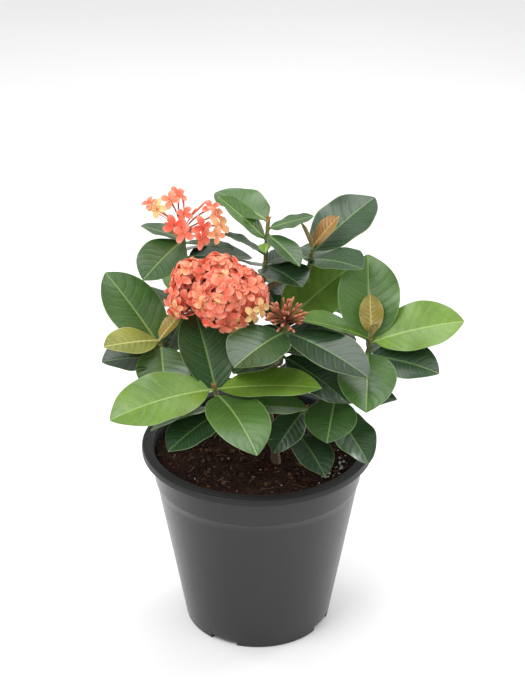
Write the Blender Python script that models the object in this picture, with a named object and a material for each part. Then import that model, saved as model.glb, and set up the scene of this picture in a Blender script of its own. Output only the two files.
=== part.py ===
# A potted ixora: a grower pot, its soil, woody stems, leafy shoots, florets and buds.
# Metres, +Z up. The origin is the middle of the pot's underside, and -Y is the front.

from math import cos, pi, radians, sin, sqrt, tan

import bpy
import numpy as np

MM = 0.001
GAP = 0.3 * MM

# Pot, an eight-inch grower pot: radii and heights in metres.
POT_SIDES = 48
POT_HEIGHT = 172.5 * MM
LIP_RADIUS = 100 * MM
LIP_DEPTH = 6 * MM
COLLAR_TOP_RADIUS = 92 * MM
COLLAR_FOOT_RADIUS = 89.6 * MM
COLLAR_DEPTH = 25 * MM
COLLAR_STEP = 1 * MM
BASE_RADIUS = 64.4 * MM
WALL = 1.6 * MM
FOOT_INNER_RADIUS = 55 * MM
PAD_RADIUS = 20 * MM
UNDERSIDE_RISE = 4 * MM
FLOOR_TOP = 6.5 * MM
NOTCH_ANGLES = (-27.8, 62.2, 152.2, 242.2)
NOTCH_WIDTH = 25 * MM
NOTCH_HEIGHT = 4.4 * MM
NOTCH_DEPTH = 26 * MM

# Soil.
SOIL_TOP = 161 * MM
SOIL_SWELL = 2 * MM
SOIL_RINGS = 4

# Stems.
TRUNK_RADIUS = 4.2 * MM
BRANCH_RADIUS = 2.7 * MM
TWIG_RADIUS = 2.0 * MM
STEM_SIDES = 5

# Leaves: every blade has the same outline, and its thickness and petiole are fixed. The two curves are
# the powers that round the outline towards its base and its tip.
LEAF_THICKNESS = 0.9 * MM
PETIOLE_SHARE = 0.06
PETIOLE_HALF_WIDTH = 1.5 * MM
WIDEST = 0.52
BASE_CURVE = (2.1, 0.62)
TIP_CURVE = (2.2, 0.85)
STATIONS = (0, 0.06, 0.16, 0.37, 0.60, 0.84, 1)
YOUNG_STATIONS = (0, 0.08, 0.35, 0.75, 1)
EDGE_LIFT = 0.10

# Each leaf is (drop below the apex, azimuth, rise, length, width, bend, roll, fold), in millimetres and
# degrees. Azimuth 0 is +X and 90 is the back; rise is the pitch of the line from base to tip; bend is
# how far the midrib turns down on its way; roll lifts the left side seen from the base; fold closes
# the two halves.
SHOOTS = {
    "shoot_front_left": {
        "apex": (-35, -52, 251),
        "foot": (-28, -47, 222),
        "leaves": (
            (2, 196, -10, 90, 50, 25, -24, 10),
            (2, 352, 5, 88, 40, 15, 10, 12),
            (7, 293, -8, 88, 48, 35, 4, 8),
            (9, 110, 43, 79, 46, 12, 0, 10),
            (20, 203, -9, 62, 34, 15, 22, 10),
            (25, 225, -13, 62, 36, 20, -8, 8),
            (22, 357, 1, 72, 40, 15, 0, 10),
        ),
    },
    "shoot_left": {
        "apex": (-81, -12, 272),
        "foot": (-75, -11, 252),
        "leaves": (
            (10, 139, 39, 86, 48, 12, -16, 8),
            (2, 277, -34, 50, 45, 25, 0, 10),
            (14, 200, 5, 55, 40, 15, -15, 10),
            (14, 75, 14, 56, 38, 20, 0, 10),
        ),
    },
    "shoot_flower": {
        "apex": (-20, -12, 289),
        "foot": (-14, -8, 262),
        "leaves": (
            (12, 120, 2, 52, 34, 20, 0, 10),
            (13, 352, 0, 43, 34, 20, 0, 10),
            (22, 112, 4, 46, 32, 20, 0, 10),
        ),
    },
    "shoot_buds": {
        "apex": (24, -32, 299),
        "foot": (20, -24, 264),
        "leaves": (
            (8, 229, -8, 64, 50, 20, -10, 10),
            (8, 322, -11, 85, 45, 20, 7, 8),
            (34, 340, -30, 66, 44, 20, 15, 10),
            (30, 8, -8, 60, 34, 20, 0, 10),
            (33, 212, -5, 48, 38, 20, 0, 10),
        ),
    },
    "shoot_middle": {
        "apex": (22, 2, 284),
        "foot": (17, 4, 262),
        "leaves": (
            (2, 42, 21, 78, 50, 12, 22, 8),
            (3, 108, 23, 36, 28, 15, 0, 10),
            (9, 82, 22, 60, 42, 20, 0, 10),
            (10, 355, -4, 64, 44, 20, 0, 10),
        ),
    },
    "shoot_right": {
        "apex": (94, -18, 279),
        "foot": (90, -18, 256),
        "leaves": (
            (7, 91, 58, 77, 52, 10, 0, 10),
            (1, 189, 20, 67, 38, 20, 2, 12),
            (4, 3, 13, 80, 48, 15, 28, 12),
            (12, 266, -14, 76, 48, 28, 0, 8),
            (16, 330, 0, 66, 40, 20, 22, 10),
            (15, 45, 0, 66, 40, 20, 0, 10),
        ),
    },
    "shoot_top_right": {
        "apex": (46, 36, 336),
        "foot": (44, 36, 320),
        "leaves": (
            (4, 38, 26, 78, 50, 15, 10, 8),
            (8, 232, 16, 38, 22, 15, 0, 12),
            (9, 312, 10, 62, 38, 20, 10, 10),
            (14, 68, -10, 66, 42, 20, 0, 10),
        ),
    },
    "shoot_top": {
        "apex": (9, 34, 363),
        "foot": (6, 25, 318),
        "leaves": (
            (1, 137, 11, 60, 44, 12, 0, 10),
            (17, 180, 44, 56, 26, 10, -20, 12),
            (7, 4, 15, 40, 24, 10, 2, 0),
            (12, 303, -13, 50, 22, 20, 0, 16),
            (29, 193, 31, 42, 22, 15, 0, 10),
            (38, 312, -6, 46, 42, 20, 0, 10),
            (36, 22, 3, 32, 30, 20, 0, 10),
            (40, 95, -22, 70, 42, 20, 0, 10),
            (19, 268, 4, 26, 12, 25, 20, 20),
        ),
    },
    "shoot_top_left": {
        "apex": (-63, 45, 345),
        "foot": (-60, 44, 316),
        "leaves": (
            (4, 230, -22, 54, 40, 15, -18, 8),
            (4, 172, 16, 38, 24, 10, 0, 10),
            (6, 340, -1, 46, 24, 10, -10, 12),
            (20, 18, -8, 60, 40, 20, 0, 10),
            (14, 90, -22, 66, 42, 20, 0, 10),
        ),
    },
    "shoot_low_right": {
        "apex": (66, -28, 230),
        "foot": (57, -26, 216),
        "leaves": (
            (1, 258, -28, 46, 44, 20, 0, 10),
            (13, 308, -30, 62, 40, 30, 0, 10),
            (5, 2, 0, 54, 38, 20, 0, 10),
            (11, 75, -4, 58, 36, 20, 0, 10),
        ),
    },
    "shoot_low_front": {
        "apex": (39, -38, 224),
        "foot": (31, -30, 190),
        "leaves": (
            (27, 298, -20, 52, 34, 25, 0, 10),
            (3, 227, -35, 44, 34, 20, 0, 10),
            (27, 200, 2, 44, 28, 20, 0, 10),
        ),
    },
    "shoot_rear_left": {
        "apex": (-52, 66, 272),
        "foot": (-40, 54, 238),
        "leaves": (
            (3, 200, 12, 80, 44, 20, 0, 10),
            (3, 20, 16, 66, 40, 20, 0, 10),
            (13, 110, 16, 84, 46, 25, 0, 10),
            (25, 165, -8, 78, 42, 20, 0, 10),
            (25, 60, -4, 70, 40, 20, 0, 10),
        ),
    },
    "shoot_rear_right": {
        "apex": (62, 74, 268),
        "foot": (50, 60, 234),
        "leaves": (
            (3, 150, 16, 74, 42, 20, 0, 10),
            (3, 335, 0, 68, 42, 20, 0, 10),
            (13, 60, 16, 84, 46, 25, 0, 10),
            (25, 10, -10, 76, 42, 20, 0, 10),
            (25, 110, -8, 76, 42, 20, 0, 10),
        ),
    },
    "shoot_rear_low": {
        "apex": (-4, 70, 218),
        "foot": (0, 52, 210),
        "leaves": (
            (2, 60, 0, 72, 42, 25, 0, 10),
            (2, 165, 0, 68, 40, 25, 0, 10),
        ),
    },
}

# Bronze pairs, which stand on the apex of the shoot that they are named after.
YOUNG_LEAVES = {
    "young_leaves_left": ("shoot_left", ((216, 10, 54, 30, 12, -22, 8), (40, 36, 30, 16, 10, 0, 16))),
    "young_leaves_right": ("shoot_right", ((95, 64, 35, 20, -6, 0, 24), (290, 62, 18, 9, 0, 0, 16))),
    "young_leaves_top_right": (
        "shoot_top_right",
        ((196, 66, 26, 15, 0, 0, 14), (18, 47, 34, 19, 6, 14, 14)),
    ),
}

# Woody branches, each a smooth line through its points in millimetres and on to its shoot's foot.
TRUNK = ((15.5, -17, 118), (15.5, -17, 166), (12, -9, 190), (5, 1, 222), (1, 6, 250))
BRANCHES = {
    "shoot_front_left": ((12, -9, 190), (0, -28, 200)),
    "shoot_left": ((5, 1, 222), (-30, -4, 234), (-60, -9, 240)),
    "shoot_flower": ((3, 3, 236), (-8, -5, 248)),
    "shoot_buds": ((2, 5, 242), (12, -12, 250)),
    "shoot_middle": ((2, 5, 246), (9, 5, 252)),
    "shoot_right": ((15.5, -15, 174), (28, -22, 198), (44, -25, 216), (72, -21, 236)),
    "shoot_top_right": ((-3, 19, 295), (10, 28, 305), (26, 34, 310)),
    "shoot_top": ((1, 6, 250), (-5, 14, 278), (-2, 21, 300)),
    "shoot_top_left": ((1, 6, 250), (-14, 30, 260), (-45, 42, 294)),
    "shoot_low_right": ((43, -25, 214), (49, -25, 210)),
    "shoot_low_front": ((20, -18, 183), (27, -25, 181)),
    "shoot_rear_left": ((5, 1, 222), (-18, 28, 226)),
    "shoot_rear_right": ((4, 2, 230), (26, 34, 228)),
    "shoot_rear_low": ((8, -4, 208), (4, 28, 208)),
}
BRANCH_END = 5

# Flowers. Places are in millimetres.
HEAD_CENTRE = (-33, -15, 314)
HEAD_RADII = (42, 38, 34)
HEAD_FLORETS = 26
HEAD_FLORET_RADIUS = 13.5
HEAD_LOWEST = -0.30
CLUSTER_FLORETS = (
    (-83, 26, 378, 20), (-66, 34, 384, 20), (-61, 22, 374, 20), (-67, 14, 365, 18), (-47, 12, 364, 23),
    (-34, 26, 364, 20), (-36, 31, 371, 20),
)
CLUSTER_BUDS = ((-49, 30, 379), (-77, 20, 366), (-58, 40, 388))
BUD_CENTRE = (23, -33, 305)
BUD_COUNT = 22
BUD_LENGTH = 20
BUD_LOWEST = -0.15
BUD_REACHES = (1, 0.82, 0.92, 0.75)
BUD_GIRTHS = (0.8 * MM, 0.9 * MM, 1.9 * MM, 0.6 * MM)
BUD_CORE = (6 * MM, 6 * MM, 5 * MM)
HEAD_CORE = 0.66
HEAD_SETBACKS = (0, 2.5, 1.2)
LOBE_OUTLINE = ((0, 0.32, 0), (22, 0.92, 0.10), (68, 0.92, 0.10))
PETAL_THICKNESS = 0.8 * MM
THROAT_RADIUS = 1.6 * MM
TUBE_RADIUS = 1.0 * MM


def vector(*values):
    return np.array(values, float)


def material(name, colour, roughness):
    made = bpy.data.materials.new(name)
    made.use_nodes = True
    shader = made.node_tree.nodes["Principled BSDF"]
    shader.inputs["Base Color"].default_value = (*colour, 1)
    shader.inputs["Roughness"].default_value = roughness
    made.diffuse_color = (*colour, 1)
    return made


def add_object(name, points, faces, finish):
    mesh = bpy.data.meshes.new(name)
    mesh.from_pydata([tuple(point) for point in points], [], [tuple(face) for face in faces])
    mesh.materials.append(finish)
    made = bpy.data.objects.new(name, mesh)
    bpy.context.scene.collection.objects.link(made)
    return made


def shade_round(made):
    made.data.shade_smooth()
    made.data.set_sharp_from_angle(angle=radians(35))


def fuse(name, solids, finish):
    """Joins closed solids, given as (points, faces), into one object by a Boolean union."""
    first, *others = [add_object(f"{name}_{n}", *solid, finish) for n, solid in enumerate(solids)]
    first.name = name
    first.data.name = name
    pieces = bpy.data.collections.new(name + "_pieces")
    bpy.context.scene.collection.children.link(pieces)
    for piece in others:
        bpy.context.scene.collection.objects.unlink(piece)
        pieces.objects.link(piece)
    union = first.modifiers.new("union", "BOOLEAN")
    union.operation = "UNION"
    union.operand_type = "COLLECTION"
    union.collection = pieces
    bpy.context.view_layer.update()
    joined = bpy.data.meshes.new_from_object(first.evaluated_get(bpy.context.evaluated_depsgraph_get()))
    first.modifiers.clear()
    first.data = joined
    for piece in others:
        bpy.data.objects.remove(piece)
    bpy.data.collections.remove(pieces)
    shade_round(first)


# Turned solids.
def turned(profile, sides):
    """A closed solid from (radius, height) points that run from axis to axis, bottom first."""
    points, rings = [], []
    for radius, height in profile:
        if radius == 0:
            rings.append([len(points)] * sides)
            points.append((0, 0, height))
            continue
        rings.append([len(points) + n for n in range(sides)])
        for n in range(sides):
            angle = 2 * pi * n / sides
            points.append((radius * cos(angle), radius * sin(angle), height))
    faces = []
    for low, high in zip(rings, rings[1:]):
        for n in range(sides):
            m = (n + 1) % sides
            corners = list(dict.fromkeys((low[n], low[m], high[m], high[n])))
            faces.append(corners)
    return points, faces


def pot_profile():
    wall_top = POT_HEIGHT - LIP_DEPTH
    collar_foot = wall_top - COLLAR_DEPTH
    inner_top = COLLAR_TOP_RADIUS - WALL
    return (
        (0, 0),
        (PAD_RADIUS, 0),
        (PAD_RADIUS + MM, UNDERSIDE_RISE),
        (FOOT_INNER_RADIUS - MM, UNDERSIDE_RISE),
        (FOOT_INNER_RADIUS, 0),
        (BASE_RADIUS - MM, 0),
        (BASE_RADIUS, MM),
        (COLLAR_FOOT_RADIUS - COLLAR_STEP, collar_foot - MM),
        (COLLAR_FOOT_RADIUS, collar_foot),
        (COLLAR_TOP_RADIUS, wall_top),
        (LIP_RADIUS, wall_top),
        (LIP_RADIUS, POT_HEIGHT - MM),
        (LIP_RADIUS - MM, POT_HEIGHT),
        (inner_top + MM, POT_HEIGHT),
        (inner_top, POT_HEIGHT - 1.5 * MM),
        (inner_top - MM, wall_top),
        (COLLAR_FOOT_RADIUS - COLLAR_STEP - WALL, collar_foot - MM),
        (BASE_RADIUS - WALL, FLOOR_TOP + 2 * MM),
        (BASE_RADIUS - WALL - 2 * MM, FLOOR_TOP),
        (0, FLOOR_TOP),
    )


def make_pot(finish):
    pot = add_object("pot", *turned(pot_profile(), POT_SIDES), finish)
    for number, angle in enumerate(NOTCH_ANGLES):
        bpy.ops.mesh.primitive_cube_add(size=1)
        cutter = bpy.context.object
        cutter.name = f"notch_cutter_{number}"
        cutter.scale = (NOTCH_WIDTH, NOTCH_DEPTH, 2 * NOTCH_HEIGHT)
        turn = radians(angle)
        cutter.rotation_euler = (0, 0, turn)
        reach = FOOT_INNER_RADIUS + NOTCH_DEPTH / 2 - MM
        cutter.location = (reach * sin(turn), -reach * cos(turn), 0)
        cutter.hide_render = True
        cutter.display_type = "WIRE"
        cut = pot.modifiers.new(f"notch_{number}", "BOOLEAN")
        cut.operation = "DIFFERENCE"
        cut.object = cutter
    shade_round(pot)


def soil_radius(height):
    """The pot's inner radius at a height, less the gap."""
    low = (FLOOR_TOP + 2 * MM, BASE_RADIUS - WALL)
    collar_foot = POT_HEIGHT - LIP_DEPTH - COLLAR_DEPTH - MM
    high = (collar_foot, COLLAR_FOOT_RADIUS - COLLAR_STEP - WALL)
    if height > collar_foot:
        low, high = high, (POT_HEIGHT - LIP_DEPTH, COLLAR_TOP_RADIUS - WALL - MM)
    share = (height - low[0]) / (high[0] - low[0])
    return low[1] + share * (high[1] - low[1]) - 1.5 * GAP


def make_soil(finish):
    bottom = FLOOR_TOP + GAP
    shoulder = FLOOR_TOP + 3 * MM
    bend = POT_HEIGHT - LIP_DEPTH - COLLAR_DEPTH - MM
    edge = SOIL_TOP - 2 * MM
    profile = [(0, bottom), (soil_radius(shoulder) - 3 * MM, bottom), (soil_radius(shoulder), shoulder)]
    profile += [(soil_radius(bend), bend), (soil_radius(edge), edge)]
    for ring in range(1, SOIL_RINGS):
        profile.append((soil_radius(edge) * (1 - ring / SOIL_RINGS), SOIL_TOP))
    profile.append((0, SOIL_TOP))
    points, faces = turned(profile, POT_SIDES)
    lifted = []
    for x, y, z in points:
        if z == SOIL_TOP:
            z += SOIL_SWELL * (0.6 * sin(x * 62 + 1) * cos(y * 71) + 0.4 * sin(x * 130 - y * 95))
        lifted.append((x, y, z))
    soil = add_object("soil", lifted, faces, finish)
    trunk_foot = vector(*TRUNK[0]) * MM
    bpy.ops.mesh.primitive_cylinder_add(vertices=12, radius=TRUNK_RADIUS + 3 * GAP, depth=POT_HEIGHT)
    hole = bpy.context.object
    hole.name = "stem_hole_cutter"
    hole.location = trunk_foot + vector(0, 0, POT_HEIGHT / 2 - GAP)
    hole.hide_render = True
    hole.display_type = "WIRE"
    cut = soil.modifiers.new("stem_hole", "BOOLEAN")
    cut.operation = "DIFFERENCE"
    cut.object = hole
    shade_round(soil)


# Stems.
def smooth_path(points, steps):
    """A Catmull-Rom line through the points."""
    points = [vector(*point) for point in points]
    ends = [2 * points[0] - points[1], *points, 2 * points[-1] - points[-2]]
    path = []
    for a, b, c, d in zip(ends, ends[1:], ends[2:], ends[3:]):
        slope, curve, twist = c - a, 2 * a - 5 * b + 4 * c - d, 3 * b - a - 3 * c + d
        for n in range(steps):
            t = n / steps
            path.append(b + 0.5 * (slope * t + curve * t**2 + twist * t**3))
    return [*path, points[-1]]


def unit(direction):
    return direction / np.linalg.norm(direction)


def tube(path, radii, sides=STEM_SIDES):
    """A closed tube along a path, with a radius for each of its points."""
    before, after = [path[0], *path[:-1]], [*path[1:], path[-1]]
    tangents = [unit(b - a) for a, b in zip(before, after)]
    side = unit(np.cross(tangents[0], vector(0.31, 0.83, 0.46)))
    points, faces = [], []
    for centre, tangent, radius in zip(path, tangents, radii):
        side = unit(side - tangent * (side @ tangent))
        other = np.cross(tangent, side)
        for n in range(sides):
            angle = 2 * pi * n / sides
            points.append(centre + radius * (cos(angle) * side + sin(angle) * other))
    for ring in range(len(path) - 1):
        for n in range(sides):
            m = (n + 1) % sides
            low, high = ring * sides, (ring + 1) * sides
            faces.append((low + n, low + m, high + m, high + n))
    faces.append(tuple(reversed(range(sides))))
    faces.append(tuple((len(path) - 1) * sides + n for n in range(sides)))
    return points, faces


def millimetres(points):
    return [vector(*point) * MM for point in points]


def make_woody_stems(finish):
    trunk = smooth_path(millimetres(TRUNK), 2)
    share = np.linspace(0, 1, len(trunk))
    solids = [tube(trunk, TRUNK_RADIUS - (TRUNK_RADIUS - BRANCH_RADIUS) * share, 7)]
    for shoot, points in BRANCHES.items():
        foot, _, direction = shoot_line(shoot)
        path = [*smooth_path([*millimetres(points), foot - direction * BRANCH_END * MM], 2), foot]
        radii = np.linspace(BRANCH_RADIUS, TWIG_RADIUS, len(path))
        solids.append(tube(path, radii))
    fuse("woody_stems", solids, finish)


# Leaves.
def half_width(share):
    """The blade's half width along its length, as a part of its greatest half width."""
    along = (share - PETIOLE_SHARE) / (1 - PETIOLE_SHARE)
    if along <= 0:
        return 0
    if along < WIDEST:
        return (1 - (1 - along / WIDEST) ** BASE_CURVE[0]) ** BASE_CURVE[1]
    return max(0, 1 - ((along - WIDEST) / (1 - WIDEST)) ** TIP_CURVE[0]) ** TIP_CURVE[1]


def leaf_frame(azimuth, pitch, roll):
    """The tangent, left side and upper normal of a blade."""
    a, p, r = radians(azimuth), radians(pitch), radians(roll)
    tangent = vector(cos(a) * cos(p), sin(a) * cos(p), sin(p))
    left = vector(-sin(a), cos(a), 0)
    normal = np.cross(tangent, left)
    return tangent, left * cos(r) + normal * sin(r), normal * cos(r) - left * sin(r)


def leaf_rows(base, azimuth, rise, length, width, bend, roll, fold, stations=STATIONS):
    """For each station the left edge, midrib, right edge and normal, in metres."""
    place = vector(*base)
    rows = []
    last = 0
    for share in stations:
        middle = (share + last) / 2
        tangent, _, _ = leaf_frame(azimuth, rise + bend * (0.5 - middle), roll)
        place = place + tangent * (share - last) * length * MM
        last = share
        _, left, normal = leaf_frame(azimuth, rise + bend * (0.5 - share), roll)
        half = max(PETIOLE_HALF_WIDTH, width * MM / 2 * half_width(share))
        edge = place + normal * half * (tan(radians(fold)) + EDGE_LIFT * (share - 0.5))
        rows.append((edge + left * half, place, edge - left * half, normal))
    return rows


def leaf_solid(base, *blade, stations=STATIONS):
    """A thin closed blade, split into triangles alike on both faces."""
    rows = leaf_rows(base, *blade, stations)
    points, faces = [], []
    for side in (0.5, -0.5):
        for left, middle, right, normal in rows:
            points += [spot + normal * side * LEAF_THICKNESS for spot in (left, middle, right)]
    under = 3 * len(rows)
    for row in range(len(rows) - 1):
        a, b, c, d, e, f = (3 * row + n for n in range(6))
        top = [(a, b, e), (a, e, d), (b, c, e), (c, f, e)]
        faces += top
        faces += [(under + z, under + y, under + x) for x, y, z in top]
        faces += [(a, d, under + d), (a, under + d, under + a), (c, under + f, f), (c, under + c, under + f)]
    last = under - 3
    for a, b in ((0, 1), (1, 2)):
        faces += [(b, a, under + a), (b, under + a, under + b)]
        a, b = a + last, b + last
        faces += [(a, b, under + b), (a, under + b, under + a)]
    return points, faces


def shoot_line(shoot):
    """The straight green stem from just above the woody foot to the apex."""
    foot, apex = millimetres((SHOOTS[shoot]["foot"], SHOOTS[shoot]["apex"]))
    return foot, apex, unit(apex - foot)


def leaf_base(shoot, drop):
    _, apex, direction = shoot_line(shoot)
    return apex - direction * drop * MM


def shoot_solids(shoot):
    foot, apex, direction = shoot_line(shoot)
    start = foot + direction * GAP
    solids = [tube([start, apex], (TWIG_RADIUS, 0.8 * TWIG_RADIUS))]
    for drop, *blade in SHOOTS[shoot]["leaves"]:
        solids.append(leaf_solid(leaf_base(shoot, drop), *blade))
    return solids


def young_solids(name):
    shoot, blades = YOUNG_LEAVES[name]
    _, apex, direction = shoot_line(shoot)
    start = apex + direction * GAP
    base = apex + direction * 2.5 * MM
    solids = [tube([start, apex + direction * 5 * MM], (1.6 * MM, 0.8 * MM))]
    for blade in blades:
        solids.append(leaf_solid(base, *blade, stations=YOUNG_STATIONS))
    return solids


# Florets and buds.
def plane_axes(normal, turn):
    helper = vector(0, 0, 1) if abs(normal[2]) < 0.9 else vector(1, 0, 0)
    a = unit(np.cross(helper, normal))
    b = np.cross(normal, a)
    return a * cos(turn) + b * sin(turn), b * cos(turn) - a * sin(turn)


def floret(root, centre, normal, radius, turn):
    """One closed solid: four lobes round a middle, and under them a square tube down to the root."""
    a, b = plane_axes(normal, turn)
    outline = []
    for lobe in range(4):
        for offset, reach, lift in LOBE_OUTLINE:
            angle = radians(90 * lobe + offset)
            outline.append(centre + radius * ((a * cos(angle) + b * sin(angle)) * reach + normal * lift))
    count = len(outline)
    step = count // 4
    points = [*outline, centre, *(point - normal * PETAL_THICKNESS for point in outline)]
    throat, heel = len(points), len(points) + 4
    along = unit(centre - root)
    for middle, reach in ((centre - 2 * PETAL_THICKNESS * normal, THROAT_RADIUS), (root, TUBE_RADIUS)):
        for side in range(4):
            angle = radians(90 * side)
            flat = a * cos(angle) + b * sin(angle)
            points.append(middle + reach * unit(flat - along * (flat @ along)))
    under = count + 1
    faces = []
    for n in range(count):
        m = (n + 1) % count
        side, onward = n // step, (n // step + 1) % 4
        faces += [(n, m, count), (n, under + n, under + m), (n, under + m, m)]
        near = side if n % step == 0 else onward
        faces.append((under + m, under + n, throat + near))
        if n % step == 0:
            faces.append((under + m, throat + side, throat + onward))
    for side in range(4):
        onward = (side + 1) % 4
        faces.append((throat + onward, throat + side, heel + side))
        faces.append((throat + onward, heel + side, heel + onward))
    faces += [(heel + 2, heel + 1, heel), (heel + 3, heel + 2, heel)]
    return points, faces


def ball(centre, radii, sides=10, rings=5):
    profile = [(0, -1)]
    profile += [(sin(pi * n / rings), -cos(pi * n / rings)) for n in range(1, rings)]
    profile += [(0, 1)]
    points, faces = turned(profile, sides)
    return [centre + vector(*point) * vector(*radii) for point in points], faces


def spread(count, lowest):
    """Directions spread evenly over a ball from its top down to a height."""
    golden = pi * (3 - sqrt(5))
    for n in range(count):
        height = 1 - (n + 0.5) / count * (1 - lowest)
        reach = sqrt(1 - height * height)
        yield vector(reach * cos(n * golden), reach * sin(n * golden), height)


def flower_stalk(shoot, end):
    _, apex, direction = shoot_line(shoot)
    start = apex + direction * GAP
    return tube([start, start + direction * 4 * MM, vector(*end)], (1.7 * MM, 1.7 * MM, 1.5 * MM))


def head_solids():
    centre, radii = vector(*HEAD_CENTRE) * MM, vector(*HEAD_RADII) * MM
    solids = [ball(centre, HEAD_CORE * radii, 10, 5), flower_stalk("shoot_flower", centre)]
    for number, direction in enumerate(spread(HEAD_FLORETS, HEAD_LOWEST)):
        normal = unit(direction / radii)
        place = centre + direction * radii - normal * HEAD_SETBACKS[number % 3] * MM
        root = centre + 0.5 * direction * radii
        solids.append(floret(root, place, normal, HEAD_FLORET_RADIUS * MM, number * 1.1))
    return solids


def cluster_solids():
    _, apex, direction = shoot_line("shoot_top_left")
    fork = apex + direction * 4 * MM
    solids = [tube([apex + direction * GAP, fork + direction * 3 * MM], (1.7 * MM, 1.6 * MM))]
    for number, (x, y, z, width) in enumerate(CLUSTER_FLORETS):
        place = vector(x, y, z) * MM
        normal = unit(unit(place - fork) + vector(0, -0.5, 0.3))
        solids.append(floret(fork, place, normal, width * MM / 2 * 1.15, number * 0.7))
    for bud in CLUSTER_BUDS:
        solids.append(club(fork, vector(*bud) * MM))
    return solids


def club(base, tip):
    """A closed bud: a thin tube with a swollen pointed end."""
    along = tip - base
    path = [base + along * share for share in (0, 0.55, 0.8, 1)]
    return tube(path, BUD_GIRTHS, 4)


def bud_solids():
    centre = vector(*BUD_CENTRE) * MM
    solids = [ball(centre, BUD_CORE, 8, 4), flower_stalk("shoot_buds", centre)]
    for number, direction in enumerate(spread(BUD_COUNT, BUD_LOWEST)):
        reach = BUD_LENGTH * BUD_REACHES[number % 4]
        solids.append(club(centre + direction * 3 * MM, centre + direction * reach * MM))
    return solids


def main():
    for old in list(bpy.data.objects):
        bpy.data.objects.remove(old)
    plastic = material("pot_plastic", (0.065, 0.067, 0.07), 0.42)
    peat = material("soil_peat", (0.035, 0.018, 0.012), 0.95)
    bark = material("stem_bark", (0.16, 0.11, 0.06), 0.8)
    leaf = material("leaf_green", (0.06, 0.16, 0.04), 0.35)
    bronze = material("leaf_bronze", (0.30, 0.24, 0.05), 0.38)
    coral = material("petal_coral", (0.9, 0.16, 0.09), 0.5)
    russet = material("bud_russet", (0.35, 0.11, 0.05), 0.5)
    make_pot(plastic)
    make_soil(peat)
    make_woody_stems(bark)
    for shoot in SHOOTS:
        fuse(shoot, shoot_solids(shoot), leaf)
    for name in YOUNG_LEAVES:
        fuse(name, young_solids(name), bronze)
    fuse("flower_head", head_solids(), coral)
    fuse("flower_cluster", cluster_solids(), coral)
    fuse("bud_cluster", bud_solids(), russet)


main()
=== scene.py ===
# A potted ixora, finished: satin pot, peaty soil, bark, leathery leaves, florets and buds.
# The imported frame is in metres. Below, lengths are millimetres and Shape turns them into metres.
from itertools import combinations
from math import cos, pi, radians, sin, sqrt, tan

import bpy
import numpy as np
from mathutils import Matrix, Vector, noise


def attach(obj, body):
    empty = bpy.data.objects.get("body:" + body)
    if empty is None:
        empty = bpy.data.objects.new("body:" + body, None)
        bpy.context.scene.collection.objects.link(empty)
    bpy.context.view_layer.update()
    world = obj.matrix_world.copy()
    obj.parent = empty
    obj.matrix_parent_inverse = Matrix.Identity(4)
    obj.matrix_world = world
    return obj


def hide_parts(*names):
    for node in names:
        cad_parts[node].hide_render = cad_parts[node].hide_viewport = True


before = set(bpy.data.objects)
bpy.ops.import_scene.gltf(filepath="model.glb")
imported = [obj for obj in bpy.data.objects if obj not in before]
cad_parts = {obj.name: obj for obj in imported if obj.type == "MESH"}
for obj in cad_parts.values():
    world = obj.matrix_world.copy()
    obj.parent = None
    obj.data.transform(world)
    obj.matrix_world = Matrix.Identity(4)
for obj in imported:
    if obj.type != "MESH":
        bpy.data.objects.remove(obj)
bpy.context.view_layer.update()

MM = 0.001
SEEDS = {"litter": 5, "bark": 11, "scales": 17, "leaves": 23, "head": 31, "cluster": 37, "buds": 41}

# Camera and light.
LENS = 85
CAMERA_PLACE = (0.0043, -1.247, 0.8783)
CAMERA_TILT = 63.61
FLOOR_SIZE = 14
# Each lamp is (name, place, size, power in watts).
LAMPS = (
    ("key", (-0.9, -0.9, 1.9), 1.3, 24),
    ("top", (0.2, 0.6, 2.1), 1.3, 17),
    ("fill", (1.6, -0.8, 0.9), 1.2, 6),
    ("edge_right", (1.1, 0.7, 0.35), 0.7, 10),
    ("edge_left", (-1.1, 0.7, 0.35), 0.7, 6),
)
WORLD_STRENGTH = 0.72

# Pot.
POT_SIDES = 192
POT_HEIGHT = 172.5
LIP_RADIUS = 100
LIP_DEPTH = 6
COLLAR_TOP_RADIUS = 92
COLLAR_FOOT_RADIUS = 89.6
COLLAR_DEPTH = 25
COLLAR_STEP = 1
# Radii of the rounded edges.
FOOT_ROUND = 1.5
COLLAR_ROUND = 0.6
LIP_UNDER_ROUND = 0.8
LIP_TOP_ROUND = 1.4
BASE_RADIUS = 64.4
WALL = 1.6
FOOT_INNER_RADIUS = 55
PAD_RADIUS = 20
UNDERSIDE_RISE = 4
FLOOR_TOP = 6.5
NOTCH_ANGLES = (-27.8, 62.2, 152.2, 242.2)
NOTCH_WIDTH = 25
NOTCH_HEIGHT = 4.4
NOTCH_HALF_ANGLE = 90 * NOTCH_WIDTH / (pi * BASE_RADIUS)
# Pairs of close columns on both sides of a notch's edges keep them sharp.
NOTCH_EDGE = 0.15

# Soil.
SOIL_TOP = 161
# The solid's surface has two waves: height in millimetres, and turns per metre along x and y.
SOIL_WAVE_A = (1.2, 62, 71)
SOIL_WAVE_B = (0.8, 130, 95)
SOIL_LUMPS = (1.5, 0.09)
SOIL_GRIT = (0.75, 0.42)
# The filling's side and foot, as (radius, height).
SOIL_FOOT = ((87.8, 141), (61.8, 10), (58, 7))
SOIL_RADIUS = 88.6
SOIL_RINGS = 66
SOIL_SIDES = 180
CRUMBS = 900
PERLITE_BITS = 76
# Middle and spread, along x and y, of the patch at the right where the perlite lies thickest.
PERLITE_PATCH = ((66, 22), (-22, 50))
FIBRES = 95
FIBRE_GIRTHS = (0.5, 0.9, 1, 1, 1, 0.8, 0.3)
# Loose bits stay inside this part of the soil's radius.
LITTER_REACH = 0.975
FIBRE_REACH = 0.93

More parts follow.
